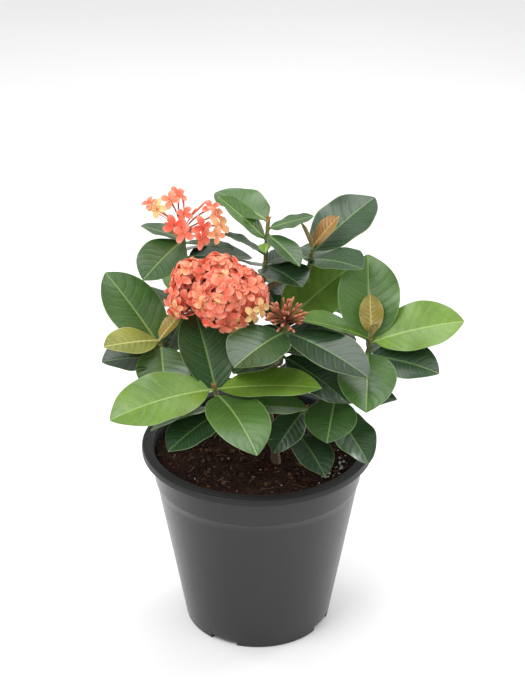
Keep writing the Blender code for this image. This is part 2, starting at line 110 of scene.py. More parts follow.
# Stems.
TRUNK_RADIUS = 4.2
BRANCH_RADIUS = 2.7
TWIG_RADIUS = 2.0
BRANCH_END = 5
BARK_SIDES = 14
GREEN_SIDES = 10

# Leaves.
PETIOLE_SHARE = 0.06
PETIOLE_HALF_WIDTH = 1.5
WIDEST = 0.52
BASE_CURVE = (2.1, 0.62)
TIP_CURVE = (2.2, 0.85)
EDGE_LIFT = 0.1
BLADE_ROWS = 46
BLADE_COLUMNS = (0, 0.035, 0.1, 0.21, 0.35, 0.5, 0.65, 0.8, 0.92, 1)
BLADE_HALF_THICKNESS = 0.24
RIB_DEPTH = 1.2
RIB_WIDTH = 1.2
GROOVE_DEPTH = 0.3
GROOVE_WIDTH = 0.9
VEINS = 9
# Side veins sweep towards the tip by a part of the length, along a curve, and alternate left and right.
VEIN_SWEEP = 0.21
VEIN_CURVE = 1.4
VEIN_OFFSET = 0.4
QUILT = 0.085
YOUNG_QUILT = 0.45
YOUNG_RISE = 2.5
RIPPLE = 0.9
SHADE_SCATTER = 0.04

# Each shoot is the points of its woody branch, then the foot and the apex of its straight green stem.
STEMS = {
    "shoot_front_left": ((12, -9, 190), (0, -28, 200), (-28, -47, 222), (-35, -52, 251)),
    "shoot_left": ((5, 1, 222), (-30, -4, 234), (-60, -9, 240), (-75, -11, 252), (-81, -12, 272)),
    "shoot_flower": ((3, 3, 236), (-8, -5, 248), (-14, -8, 262), (-20, -12, 289)),
    "shoot_buds": ((2, 5, 242), (12, -12, 250), (20, -24, 264), (24, -32, 299)),
    "shoot_middle": ((2, 5, 246), (9, 5, 252), (17, 4, 262), (22, 2, 284)),
    "shoot_right": (
        (15.5, -15, 174), (28, -22, 198), (44, -25, 216), (72, -21, 236), (90, -18, 256), (94, -18, 279)
    ),
    "shoot_top_right": ((-3, 19, 295), (10, 28, 305), (26, 34, 310), (44, 36, 320), (46, 36, 336)),
    "shoot_top": ((1, 6, 250), (-5, 14, 278), (-2, 21, 300), (6, 25, 318), (9, 34, 363)),
    "shoot_top_left": ((1, 6, 250), (-14, 30, 260), (-45, 42, 294), (-60, 44, 316), (-63, 45, 345)),
    "shoot_low_right": ((43, -25, 214), (49, -25, 210), (57, -26, 216), (66, -28, 230)),
    "shoot_low_front": ((20, -18, 183), (27, -25, 181), (31, -30, 190), (39, -38, 224)),
    "shoot_rear_left": ((5, 1, 222), (-18, 28, 226), (-40, 54, 238), (-52, 66, 272)),
    "shoot_rear_right": ((4, 2, 230), (26, 34, 228), (50, 60, 234), (62, 74, 268)),
    "shoot_rear_low": ((8, -4, 208), (4, 28, 208), (0, 52, 210), (-4, 70, 218)),
}
TRUNK = ((15.5, -17, 118), (15.5, -17, 166), (12, -9, 190), (5, 1, 222), (1, 6, 250))

# Each leaf is (drop below the apex, azimuth, rise, length, width, bend, roll, fold, shade), in millimetres
# and degrees. Azimuth 0 is +X and 90 is the back; rise is the pitch of the line from base to tip; bend is
# how far the midrib turns down on its way; roll lifts the left side seen from the base; fold closes
# the two halves; shade runs from 0 for old blue-green to 1 for fresh yellow-green, and it is also painted
# light and shade: leaves that lie in shadow have lower values, and leaves that catch the light higher ones.
LEAVES = {
    "shoot_front_left": (
        (2, 196, -10, 90, 50, 25, -24, 10, 0.78),
        (2, 352, 5, 88, 40, 15, 10, 12, 0.94),
        (7, 293, -8, 88, 48, 35, 4, 8, 0.5),
        (9, 110, 43, 79, 46, 12, 0, 10, 0.28),
        (20, 203, -9, 62, 34, 15, 22, 10, 0.45),
        (25, 225, -13, 62, 36, 20, -8, 8, 0.05),
        (22, 357, 1, 72, 40, 15, 0, 10, 0.5),
    ),
    "shoot_left": (
        (10, 139, 39, 86, 48, 12, -16, 8, 0.54),
        (2, 277, -34, 50, 45, 25, 0, 10, 0.42),
        (14, 200, 5, 55, 40, 15, -15, 10, 0.02),
        (14, 75, 14, 56, 38, 20, 0, 10, 0.12),
    ),
    "shoot_flower": (
        (12, 120, 2, 52, 34, 20, 0, 10, 0.12),
        (13, 352, 0, 43, 34, 20, 0, 10, 0.25),
        (22, 112, 4, 46, 32, 20, 0, 10, 0.1),
    ),
    "shoot_buds": (
        (8, 229, -8, 64, 50, 20, -10, 10, 0.2),
        (8, 322, -11, 85, 45, 20, 7, 8, 0.02),
        (34, 340, -30, 66, 44, 20, 15, 10, 0.0),
        (30, 8, -8, 60, 34, 20, 0, 10, 0.05),
        (33, 212, -5, 48, 38, 20, 0, 10, 0.05),
    ),
    "shoot_middle": (
        (2, 42, 21, 78, 50, 12, 22, 8, 0.74),
        (3, 108, 23, 36, 28, 15, 0, 10, 0.32),
        (9, 82, 22, 60, 42, 20, 0, 10, 0.05),
        (10, 355, -4, 64, 44, 20, 0, 10, 0.05),
    ),
    "shoot_right": (
        (7, 91, 58, 77, 52, 10, 0, 10, 0.6),
        (1, 189, 20, 67, 38, 20, 2, 12, 0.72),
        (4, 3, 13, 80, 48, 15, 28, 12, 0.78),
        (12, 266, -14, 76, 48, 28, 0, 8, 0.4),
        (16, 330, 0, 66, 40, 20, 22, 10, 0.1),
        (15, 45, 0, 66, 40, 20, 0, 10, 0.15),
    ),
    "shoot_top_right": (
        (4, 38, 26, 78, 50, 15, 10, 8, 0.12),
        (8, 232, 16, 38, 22, 15, 0, 12, 0.2),
        (9, 312, 10, 62, 38, 20, 10, 10, 0.22),
        (14, 68, -10, 66, 42, 20, 0, 10, 0.2),
    ),
    "shoot_top": (
        (1, 137, 11, 60, 44, 12, 0, 10, 0.52),
        (17, 180, 44, 56, 26, 10, -20, 12, 0.58),
        (7, 4, 15, 40, 24, 10, 2, 0, 0.45),
        (12, 303, -13, 50, 22, 20, 0, 16, 0.42),
        (29, 193, 31, 42, 22, 15, 0, 10, 0.3),
        (38, 312, -6, 46, 42, 20, 0, 10, 0.05),
        (36, 22, 3, 32, 30, 20, 0, 10, 0.05),
        (40, 95, -22, 70, 42, 20, 0, 10, 0.1),
        (19, 268, 4, 26, 12, 25, 20, 20, 0.92),
    ),
    "shoot_top_left": (
        (4, 230, -22, 54, 40, 15, -18, 8, 0.44),
        (4, 172, 16, 38, 24, 10, 0, 10, 0.22),
        (6, 340, -1, 46, 24, 10, -10, 12, 0.3),
        (20, 18, -8, 60, 40, 20, 0, 10, 0.05),
        (14, 90, -22, 66, 42, 20, 0, 10, 0.25),
    ),
    "shoot_low_right": (
        (1, 258, -28, 46, 44, 20, 0, 10, 0.36),
        (13, 308, -30, 62, 40, 30, 0, 10, 0.12),
        (5, 2, 0, 54, 38, 20, 0, 10, 0.02),
        (11, 75, -4, 58, 36, 20, 0, 10, 0.2),
    ),
    "shoot_low_front": (
        (27, 298, -20, 52, 34, 25, 0, 10, 0.0),
        (3, 227, -35, 44, 34, 20, 0, 10, 0.02),
        (27, 200, 2, 44, 28, 20, 0, 10, 0.15),
    ),
    "shoot_rear_left": (
        (3, 200, 12, 80, 44, 20, 0, 10, 0.2),
        (3, 20, 16, 66, 40, 20, 0, 10, 0.3),
        (13, 110, 16, 84, 46, 25, 0, 10, 0.62),
        (25, 165, -8, 78, 42, 20, 0, 10, 0.35),
        (25, 60, -4, 70, 40, 20, 0, 10, 0.25),
    ),
    "shoot_rear_right": (
        (3, 150, 16, 74, 42, 20, 0, 10, 0.3),
        (3, 335, 0, 68, 42, 20, 0, 10, 0.15),
        (13, 60, 16, 84, 46, 25, 0, 10, 0.75),
        (25, 10, -10, 76, 42, 20, 0, 10, 0.25),
        (25, 110, -8, 76, 42, 20, 0, 10, 0.45),
    ),
    "shoot_rear_low": (
        (2, 60, 0, 72, 42, 25, 0, 10, 0.4),
        (2, 165, 0, 68, 40, 25, 0, 10, 0.2),
    ),
}
FLOWERING = ("shoot_flower", "shoot_buds", "shoot_top_left")

# Bronze pairs, which stand on the apex of the shoot that they are named after. The last value of each
# leaf is its shade, from 0 for orange-brown to 1 for yellow-green.
YOUNG_LEAVES = {
    "young_leaves_left": (
        "shoot_left",
        ((216, 10, 54, 30, 12, -22, 8, 0.95), (40, 36, 30, 16, 10, 0, 16, 0.45)),
    ),
    "young_leaves_right": (
        "shoot_right",
        ((95, 64, 35, 20, -6, 0, 24, 0.55), (290, 62, 18, 9, 0, 0, 16, 0.5)),
    ),
    "young_leaves_top_right": (
        "shoot_top_right",
        ((196, 66, 26, 15, 0, 0, 14, 0.15), (18, 47, 34, 19, 6, 14, 14, 0.1)),
    ),
}

# Flowers. The head is a heap of round bunches, each (x, y, z, radius).
HEAD_CENTRE = (-33, -12, 314)
HEAD_BUNCHES = (
    (-22, -24, 303, 15),
    (-11, -13, 317, 19),
    (-30, -6, 329, 18),
    (-53, -7, 326, 17),
    (-60, -16, 313, 14),
    (-30, -23, 319, 22),
    (-33, 4, 315, 22),
    (-50, 6, 316, 15),
    (-16, 6, 317, 16),
)
# Each layer of the head is (number of florets, depth under its surface).
HEAD_LAYERS = ((176, 0), (66, 5))
HEAD_LOWEST = -0.62
FLORET_RADIUS = 8.9
# A floret's hue: its middle and scatter, and how much redder it is on the lower side.
HEAD_HUES = (0.46, 0.1)
LOWER_REDDER = 0.06
YELLOW_SHARE = 0.07
YELLOW_HUES = (0.86, 0.95)
# Yellow florets that stand out at the right of the head.
HEAD_YELLOW = ((3, -31, 313), (-4, -35, 308))
# Each floret of the open cluster is (x, y, z, width, hue), and each bud (x, y, z, girth).
CLUSTER_FLORETS = (
    (-83, 25, 377, 17, 0.92),
    (-89, 30, 380, 15, 0.45),
    (-72, 32, 382, 16, 0.62),
    (-65, 38, 384, 16, 0.4),
    (-60, 24, 373, 17, 0.3),
    (-68, 14, 367, 20, 0.28),
    (-61, 10, 361, 18, 0.42),
    (-45, 12, 366, 20, 0.26),
    (-46, 6, 359, 18, 0.38),
    (-34, 28, 371, 18, 0.66),
    (-31, 20, 364, 18, 0.82),
    (-33, 14, 358, 16, 0.74),
    (-38, 36, 374, 16, 0.4),
)
CLUSTER_BUDS = (
    (-50, 28, 377, 0.9),
    (-42, 36, 380, 0.8),
    (-63, 42, 387, 0.9),
    (-77, 20, 367, 0.8),
    (-92, 26, 378, 0.7),
)
STALK_RADII = (1.7, 1.2)
# Out is this on tubes and stalks. On a lobe it runs from 0 at the throat to 1 at the tip.
TUBE_MARK = -0.5
BUD_CENTRE = (23, -33, 305)
BUD_COUNT = 66
BUD_LENGTH = 20
BUD_SCALE = 0.84
BUD_LOWEST = -0.25
BUD_SIDES = 9
BUD_SHARES = (0, 0.3, 0.52, 0.64, 0.74, 0.84, 0.92, 0.97, 1)
BUD_GIRTHS = (0.45, 0.5, 0.55, 0.85, 1.2, 1.32, 1.05, 0.62, 0.12)


def vector(*values):
    return np.array(values, float)


def unit(direction):
    return direction / np.linalg.norm(direction)


def place_object(name, data):
    made = bpy.data.objects.new(name, data)
    bpy.context.scene.collection.objects.link(made)
    return made


# Nodes for materials.
class Paint:
    """A material's node tree, with short calls for the nodes that the materials here use."""

    def __init__(self, name):
        self.material = bpy.data.materials.new(name)
        self.material.use_nodes = True
        self.tree = self.material.node_tree
        self.shader = self.tree.nodes["Principled BSDF"]

    def put(self, socket, value):
        if isinstance(value, bpy.types.NodeSocket):
            self.tree.links.new(value, socket)
        elif isinstance(value, tuple) and len(value) == 3 and socket.type == "RGBA":
            socket.default_value = (*value, 1)
        else:
            socket.default_value = value

    def node(self, kind, inputs, **settings):
        made = self.tree.nodes.new(kind)
        for name, value in settings.items():
            setattr(made, name, value)
        for key, value in inputs.items():
            self.put(made.inputs[key], value)
        return made

    def value(self, name):
        """A value that the mesh stores for each point."""
        return self.node("ShaderNodeAttribute", {}, attribute_name=name).outputs["Fac"]

    def math(self, operation, *values):
        return self.node("ShaderNodeMath", dict(enumerate(values)), operation=operation).outputs[0]

    def times(self, value, factor):
        return self.math("MULTIPLY", value, factor)

    def plus(self, first, second):
        return self.math("ADD", first, second)

    def smooth(self, value, start, end):
        """0 at the start and before it, 1 at the end and beyond it, and smooth between them."""
        inputs = {"Value": value, "From Min": start, "From Max": end}
        return self.node("ShaderNodeMapRange", inputs, interpolation_type="SMOOTHSTEP").outputs[0]

    def mix(self, share, first, second, blend="MIX"):
        made = self.node("ShaderNodeMix", {}, data_type="RGBA", blend_type=blend)
        for socket, value in ((made.inputs[0], share), (made.inputs[6], first), (made.inputs[7], second)):
            self.put(socket, value)
        return made.outputs[2]

    def where(self):
        return self.node("ShaderNodeTexCoord", {}).outputs["Object"]

    def place(self, stretch=(1, 1, 1)):
        return self.node("ShaderNodeMapping", {"Vector": self.where(), "Scale": stretch}).outputs[0]

    def height(self):
        return self.node("ShaderNodeSeparateXYZ", {"Vector": self.where()}).outputs["Z"]

    def noise(self, scale, detail=3, stretch=(1, 1, 1), roughness=0.5):
        inputs = {"Vector": self.place(stretch), "Scale": scale, "Detail": detail, "Roughness": roughness}
        return self.node("ShaderNodeTexNoise", inputs).outputs[0]

    def cells(self, scale):
        """The distance to the middle of the nearest cell."""
        return self.node("ShaderNodeTexVoronoi", {"Vector": self.place(), "Scale": scale}).outputs[0]

    def ramp(self, value, *stops):
        made = self.node("ShaderNodeValToRGB", {"Fac": value})
        spots = made.color_ramp.elements
        while len(spots) < len(stops):
            spots.new(0.5)
        for spot, (where, colour) in zip(spots, stops):
            spot.position = where
            spot.color = (*colour, 1)
        return made.outputs[0]

    def mottle(self, colour, pattern, low, high):
        """The colour, multiplied by a pattern of two tints."""
        return self.mix(1.0, colour, self.ramp(pattern, low, high), "MULTIPLY")

    def bump(self, height, depth, strength=1.0):
        inputs = {"Height": height, "Distance": depth, "Strength": strength}
        self.put(self.shader.inputs["Normal"], self.node("ShaderNodeBump", inputs).outputs[0])

    def finish(self, **inputs):
        for name, value in inputs.items():
            self.put(self.shader.inputs[name.replace("_", " ")], value)
        return self.material


def veins(paint):
    """Masks of the side veins and the midrib, the way from vein to vein, and the way out to the edge."""
    along, across = paint.value("along"), paint.value("across")
    out = paint.math("ABSOLUTE", across)
    swept = paint.times(paint.math("POWER", out, VEIN_CURVE), VEIN_SWEEP)
    shifted = paint.times(paint.math("GREATER_THAN", across, 0.0), VEIN_OFFSET)
    phase = paint.plus(paint.times(paint.math("SUBTRACT", along, swept), VEINS), shifted)
    phase = paint.plus(phase, paint.times(paint.noise(60, 2), 0.35))
    ridge = paint.math("PINGPONG", phase, 0.5)
    line = paint.times(paint.smooth(ridge, 0.11, 0.015), paint.smooth(out, 0.95, 0.62))
    thick = paint.math("SUBTRACT", 0.95, paint.times(along, 0.62))
    beyond = paint.math("SUBTRACT", paint.value("from_rib"), thick)
    rib = paint.smooth(beyond, 0.3, -0.15)
    return line, rib, ridge, out


def leaf_material(name, bodies, vein, ribs, edge, underside, roughness, depth):
    """Bodies are the ramp that a leaf's shade reads, and ribs the midrib's colours at both its ends."""
    paint = Paint(name)
    line, rib, ridge, out = veins(paint)
    shade, under = paint.value("shade"), paint.value("under")
    body = paint.ramp(shade, *bodies)
    body = paint.mottle(body, paint.noise(34, 4), (0.3, (0.72, 0.76, 0.74)), (0.72, (1.22, 1.18, 1.1)))
    body = paint.mottle(body, paint.noise(420, 3), (0.35, (0.88, 0.9, 0.88)), (0.7, (1.1, 1.08, 1.06)))
    swell = paint.smooth(ridge, 0.05, 0.5)
    body = paint.mix(paint.times(swell, 0.14), body, paint.mix(0.5, body, vein))
    body = paint.mix(paint.times(line, 0.22), body, vein)
    body = paint.mix(paint.times(paint.smooth(out, 0.955, 0.995), 0.6), body, edge)
    body = paint.mix(paint.times(rib, 0.82), body, paint.mix(shade, *ribs))
    pale = paint.mix(paint.times(line, 0.3), underside, vein)
    colour = paint.mix(paint.times(under, 0.85), body, pale)
    grain = paint.times(paint.noise(900, 2), 0.1)
    height = paint.math("SUBTRACT", paint.times(swell, 0.3), paint.times(line, 0.2))
    uneven = paint.plus(grain, paint.times(paint.noise(160, 3), 0.5))
    paint.bump(paint.plus(height, uneven), depth, 0.75)
    worn = paint.math("MULTIPLY_ADD", paint.noise(70, 4), 0.18, roughness - 0.09)
    matt = paint.plus(worn, paint.times(under, 0.2))
    return paint.finish(
        Base_Color=colour, Roughness=matt, Coat_Weight=0.22, Coat_Roughness=0.24, Specular_IOR_Level=0.45
    )


def old_leaf():
    # The dark end of this ramp is painted shade as well as the colour of old leaves, and its light end is
    # painted light as well as the colour of fresh ones: leaves in shadow take low shades and lit leaves high
    # ones.
    old_and_shaded, middle = (0.0, (0.008, 0.029, 0.014)), (0.3, (0.022, 0.07, 0.021))
    fresh_and_lit, youngest_and_lit = (0.6, (0.062, 0.15, 0.02)), (1.0, (0.19, 0.33, 0.03))
    return leaf_material(
        "leaf_glossy",
        bodies=(old_and_shaded, middle, fresh_and_lit, youngest_and_lit),
        vein=(0.17, 0.3, 0.075),
        ribs=((0.1, 0.2, 0.055), (0.36, 0.5, 0.13)),
        edge=(0.24, 0.34, 0.12),
        underside=(0.1, 0.185, 0.055),
        roughness=0.36,
        depth=0.0005,
    )


def bronze_leaf():
    return leaf_material(
        "leaf_bronze",
        bodies=((0.0, (0.3, 0.115, 0.015)), (0.45, (0.27, 0.185, 0.02)), (1.0, (0.25, 0.29, 0.05))),
        vein=(0.46, 0.4, 0.12),
        ribs=((0.5, 0.36, 0.1), (0.55, 0.56, 0.2)),
        edge=(0.62, 0.6, 0.26),
        underside=(0.33, 0.27, 0.09),
        roughness=0.36,
        depth=0.0009,
    )


def green_stem():
    paint = Paint("stem_green")
    streaks = paint.noise(160, 4, (1, 1, 0.2))
    colour = paint.ramp(
        streaks, (0.3, (0.055, 0.085, 0.018)), (0.55, (0.12, 0.15, 0.035)), (0.75, (0.22, 0.17, 0.06))
    )
    paint.bump(streaks, 0.0006)
    return paint.finish(Base_Color=colour, Roughness=0.55)


def bark():
    paint = Paint("stem_bark")
    streaks = paint.noise(220, 6, (1, 1, 0.25), 0.65)
    colour = paint.ramp(
        streaks, (0.25, (0.045, 0.03, 0.017)), (0.5, (0.125, 0.088, 0.045)), (0.75, (0.26, 0.2, 0.115))
    )
    dots = paint.smooth(paint.cells(260), 0.3, 0.1)
    colour = paint.mix(paint.times(dots, 0.35), colour, (0.36, 0.29, 0.19))
    paint.bump(paint.plus(streaks, paint.times(dots, 0.4)), 0.0012)
    return paint.finish(Base_Color=colour, Roughness=0.85)


def scale_tan():
    paint = Paint("scale_tan")
    colour = paint.ramp(paint.noise(500, 3), (0.3, (0.24, 0.1, 0.03)), (0.7, (0.5, 0.3, 0.1)))
    paint.bump(paint.noise(900, 2), 0.0003)
    return paint.finish(Base_Color=colour, Roughness=0.6)


def petal():
    """Hue runs from 0 for deep red-coral to 1 for yellow, and out from the throat to a lobe's tip."""
    paint = Paint("petal_waxy")
    hue, out = paint.value("hue"), paint.value("out")
    varied = paint.math("MULTIPLY_ADD", paint.noise(260, 3), 0.16, paint.math("SUBTRACT", hue, 0.08))
    body = paint.ramp(
        varied,
        (0.0, (0.62, 0.04, 0.022)),
        (0.35, (0.88, 0.13, 0.07)),
        (0.6, (0.9, 0.215, 0.115)),
        (0.8, (0.92, 0.4, 0.17)),
        (1.0, (0.96, 0.66, 0.25)),
    )
    tip = paint.mix(0.5, body, (0.98, 0.46, 0.32))
    heart = paint.mix(0.55, body, (0.75, 0.07, 0.03))
    colour = paint.mix(paint.smooth(out, 0.45, 1.0), body, tip)
    colour = paint.mix(paint.smooth(out, 0.34, 0.05), colour, heart)
    tube = paint.math("LESS_THAN", out, TUBE_MARK / 2)
    colour = paint.mix(tube, colour, paint.mix(hue, (0.2, 0.012, 0.018), (0.55, 0.16, 0.05)))
    paint.bump(paint.noise(700, 3), 0.00025)
    return paint.finish(
        Base_Color=colour,
        Roughness=0.5,
        Subsurface_Weight=0.35,
        Subsurface_Radius=(1.0, 0.35, 0.2),
        Subsurface_Scale=0.003,
        Sheen_Weight=0.15,
    )


def bud_skin():
    """Out runs from a bud's foot to its tip."""
    paint = Paint("bud_skin")
    out, hue = paint.value("out"), paint.value("hue")
    body = paint.ramp(
        out,
        (0.0, (0.07, 0.008, 0.008)),
        (0.45, (0.15, 0.022, 0.014)),
        (0.72, (0.3, 0.068, 0.034)),
        (0.92, (0.44, 0.135, 0.075)),
        (1.0, (0.62, 0.3, 0.2)),
    )
    colour = paint.mix(hue, body, paint.mix(0.5, body, (0.62, 0.28, 0.1)))
    colour = paint.mottle(colour, paint.noise(600, 3), (0.3, (0.82, 0.82, 0.82)), (0.7, (1.14, 1.1, 1.1)))
    paint.bump(paint.noise(800, 2), 0.0002)
    return paint.finish(Base_Color=colour, Roughness=0.42, Subsurface_Weight=0.08, Subsurface_Scale=0.002)


def plastic():
    paint = Paint("pot_plastic")
    cloud = paint.noise(9, 4, (1, 1, 0.35))
    colour = paint.ramp(cloud, (0.3, (0.015, 0.0153, 0.0162)), (0.7, (0.0205, 0.021, 0.0222)))
    dust = paint.smooth(paint.noise(130, 6, roughness=0.7), 0.6, 0.8)
    colour = paint.mix(paint.times(dust, 0.12), colour, (0.12, 0.116, 0.112))
    # Painted shade: the rim band, from the lip's foot up, is painted almost black because it catches little
    # light; the same mask also makes it rougher below.
    lip_foot = POT_HEIGHT - LIP_DEPTH
    lip = paint.smooth(paint.height(), (lip_foot - 0.8) * MM, (lip_foot - 0.2) * MM)
    colour = paint.mix(paint.times(lip, 0.9), colour, (0.004, 0.004, 0.0043))
    scuff = paint.smooth(paint.noise(60, 5, (1, 1, 2), 0.7), 0.55, 0.8)
    grain = paint.times(paint.noise(1500, 2), 0.3)
    paint.bump(paint.plus(grain, paint.noise(40, 2, (1, 1, 0.2))), 0.0005, 0.5)
    gloss = paint.math("MULTIPLY_ADD", cloud, 0.12, paint.math("MULTIPLY_ADD", scuff, 0.1, 0.22))
    gloss = paint.math("MULTIPLY_ADD", lip, 0.25, gloss)
    return paint.finish(Base_Color=colour, Roughness=gloss, Specular_IOR_Level=0.4)


def peat():
    paint = Paint("soil_peat")
    lumps = paint.noise(420, 6, roughness=0.7)
    colour = paint.ramp(
        lumps,
        (0.3, (0.004, 0.002, 0.0016)),
        (0.5, (0.022, 0.0085, 0.006)),
        (0.62, (0.062, 0.022, 0.013)),
        (0.8, (0.14, 0.058, 0.034)),
    )
    colour = paint.mottle(colour, paint.noise(30, 3), (0.35, (0.55, 0.55, 0.6)), (0.7, (1.5, 1.25, 1.1)))
    paint.bump(lumps, 0.002)
    return paint.finish(Base_Color=colour, Roughness=0.95, Specular_IOR_Level=0.15)


def tinted(name, dark, light, roughness):
    """A grainy finish between two colours, which each bit's tint moves between."""
    paint = Paint(name)
    tint = paint.math("SUBTRACT", paint.value("tint"), 0.25)
    varied = paint.math("MULTIPLY_ADD", paint.noise(600, 4), 0.5, tint)
    colour = paint.ramp(varied, (0.0, dark), (1.0, light))
    paint.bump(paint.noise(600, 3), 0.0006)
    return paint.finish(Base_Color=colour, Roughness=roughness)


def floor_white():
    paint = Paint("floor_white")
    colour = paint.ramp(paint.noise(1.5, 2), (0.3, (0.9, 0.9, 0.9)), (0.7, (0.93, 0.93, 0.93)))
    return paint.finish(Base_Color=colour, Roughness=0.7)


# Shapes.
class Shape:
    """Gathers points in millimetres, faces and named values for each point, and makes one piece."""

    def __init__(self):
        self.count = 0
        self.points, self.faces, self.values = [], [], {}

    def add(self, points, faces, **values):
        self.points.append(np.asarray(points, float))
        self.faces += [tuple(self.count + n for n in face) for face in faces]
        for name, value in values.items():
            self.values.setdefault(name, []).append(np.broadcast_to(value, len(points)))
        self.count += len(points)

    def add_tube(self, path, radii, sides, **values):
        self.add(*tube(path, radii, sides), **values)

    def piece(self, name, material, slot, *nodes):
        """Makes the gathered faces one object, which takes the place of the named nodes."""
        mesh = bpy.data.meshes.new(name)
        mesh.from_pydata(np.concatenate(self.points) * MM, [], self.faces)
        mesh.materials.append(material)
        for key, held in self.values.items():
            attribute = mesh.attributes.new(key, "FLOAT", "POINT")
            attribute.data.foreach_set("value", np.concatenate(held).astype(np.float32))
        mesh.shade_smooth()
        mesh.set_sharp_from_angle(angle=radians(50))
        made = place_object(name, mesh)
        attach(made, "root")
        if nodes:
            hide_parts(*nodes)


def grid_faces(rows, columns, start=0, turned=False):
    """Quads between rows of points, which face up where the rows run away and the columns run right."""
    faces = []
    for row in range(rows - 1):
        for column in range(columns - 1):
            a = start + row * columns + column
            face = (a, a + 1, a + columns + 1, a + columns)
            faces.append(face[::-1] if turned else face)
    return faces


def sheet_faces(rows, columns):
    """A closed sheet: an upper grid, a lower grid after it, and the rim between them."""
    under = rows * columns
    faces = grid_faces(rows, columns) + grid_faces(rows, columns, under, True)
    rim = list(range(columns))
    rim += [row * columns + columns - 1 for row in range(1, rows)]
    rim += [(rows - 1) * columns + column for column in reversed(range(columns - 1))]
    rim += [row * columns for row in reversed(range(1, rows - 1))]
    for a, b in zip(rim, [*rim[1:], rim[0]]):
        faces.append((b, a, under + a, under + b))
    return faces


def tube(path, radii, sides):
    """The points and faces of a closed tube along a path."""
    path = [vector(*point) for point in path]
    before, after = [path[0], *path[:-1]], [*path[1:], path[-1]]
    tangents = [unit(b - a) for a, b in zip(before, after)]
    side = unit(np.cross(tangents[0], vector(0.31, 0.83, 0.46)))
    points, faces = [], []
    for centre, tangent, radius in zip(path, tangents, radii):
        side = unit(side - tangent * (side @ tangent))
        other = np.cross(tangent, side)
        for n in range(sides):
            angle = 2 * pi * n / sides
            points.append(centre + radius * (cos(angle) * side + sin(angle) * other))
    for ring in range(len(path) - 1):
        for n in range(sides):
            m = (n + 1) % sides
            low, high = ring * sides, (ring + 1) * sides
            faces.append((low + n, low + m, high + m, high + n))
    faces.append(tuple(reversed(range(sides))))
    faces.append(tuple((len(path) - 1) * sides + n for n in range(sides)))
    return points, faces


def smooth_path(points, steps):
    """A Catmull-Rom line through the points."""
    points = [vector(*point) for point in points]
    ends = [2 * points[0] - points[1], *points, 2 * points[-1] - points[-2]]
    path = []
    for a, b, c, d in zip(ends, ends[1:], ends[2:], ends[3:]):
        slope, curve, twist = c - a, 2 * a - 5 * b + 4 * c - d, 3 * b - a - 3 * c + d
        for n in range(steps):
            t = n / steps
            path.append(b + 0.5 * (slope * t + curve * t**2 + twist * t**3))
    return [*path, points[-1]]


def plane_axes(normal, turn):
    helper = vector(0, 0, 1) if abs(normal[2]) < 0.9 else vector(1, 0, 0)
    a = unit(np.cross(helper, normal))
    b = np.cross(normal, a)
    return a * cos(turn) + b * sin(turn), b * cos(turn) - a * sin(turn)


# Pot.
def arc(centre, radius, start, end, steps):
    """Points on an arc in the (radius, height) plane, with angles in degrees from the outward axis."""
    for angle in np.radians(np.linspace(start, end, steps)):
        yield centre[0] + radius * cos(angle), centre[1] + radius * sin(angle)


def pot_profile():
    wall_top = POT_HEIGHT - LIP_DEPTH
    collar_foot = wall_top - COLLAR_DEPTH
    inner_top = COLLAR_TOP_RADIUS - WALL
    profile = [(0, 0), (PAD_RADIUS - 0.5, 0), (PAD_RADIUS, 0.3), (PAD_RADIUS + 1, UNDERSIDE_RISE)]
    profile += [(FOOT_INNER_RADIUS - 1, UNDERSIDE_RISE), (FOOT_INNER_RADIUS, 0.3)]
    profile += [(FOOT_INNER_RADIUS + 0.5, 0), (BASE_RADIUS - FOOT_ROUND, 0)]
    profile += arc((BASE_RADIUS - FOOT_ROUND, FOOT_ROUND), FOOT_ROUND, -70, 0, 5)
    for share in np.linspace(0.04, 1, 20):
        radius = BASE_RADIUS + share * (COLLAR_FOOT_RADIUS - COLLAR_STEP - BASE_RADIUS)
        profile.append((radius, FOOT_ROUND + share * (collar_foot - COLLAR_STEP - FOOT_ROUND)))
    profile += arc((COLLAR_FOOT_RADIUS - COLLAR_ROUND, collar_foot + 0.2), COLLAR_ROUND, -50, 0, 4)
    profile += [(COLLAR_TOP_RADIUS - 0.2, wall_top - 2), (COLLAR_TOP_RADIUS, wall_top - 0.6)]
    profile += [(COLLAR_TOP_RADIUS + 0.6, wall_top), (LIP_RADIUS - LIP_UNDER_ROUND, wall_top)]
    profile += arc((LIP_RADIUS - LIP_UNDER_ROUND, wall_top + LIP_UNDER_ROUND), LIP_UNDER_ROUND, -60, 0, 4)
    arc_height = POT_HEIGHT - LIP_TOP_ROUND
    profile += arc((LIP_RADIUS - LIP_TOP_ROUND, arc_height), LIP_TOP_ROUND, 0, 90, 6)
    profile += [(LIP_RADIUS - 3.5, POT_HEIGHT - 0.25), (inner_top + 2.6, POT_HEIGHT - 0.25)]
    profile += arc((inner_top + LIP_TOP_ROUND, arc_height), LIP_TOP_ROUND, 90, 180, 6)
    profile += [(inner_top - 1, wall_top), (COLLAR_FOOT_RADIUS - COLLAR_STEP - WALL, collar_foot - 1)]
    profile += [(BASE_RADIUS - WALL, FLOOR_TOP + 2), (BASE_RADIUS - WALL - 2, FLOOR_TOP), (0, FLOOR_TOP)]
    return profile


def in_notch(angle):
    """Whether an angle lies inside a drain notch."""
    return any(abs((angle - notch + 270) % 360 - 180) < NOTCH_HALF_ANGLE for notch in NOTCH_ANGLES)


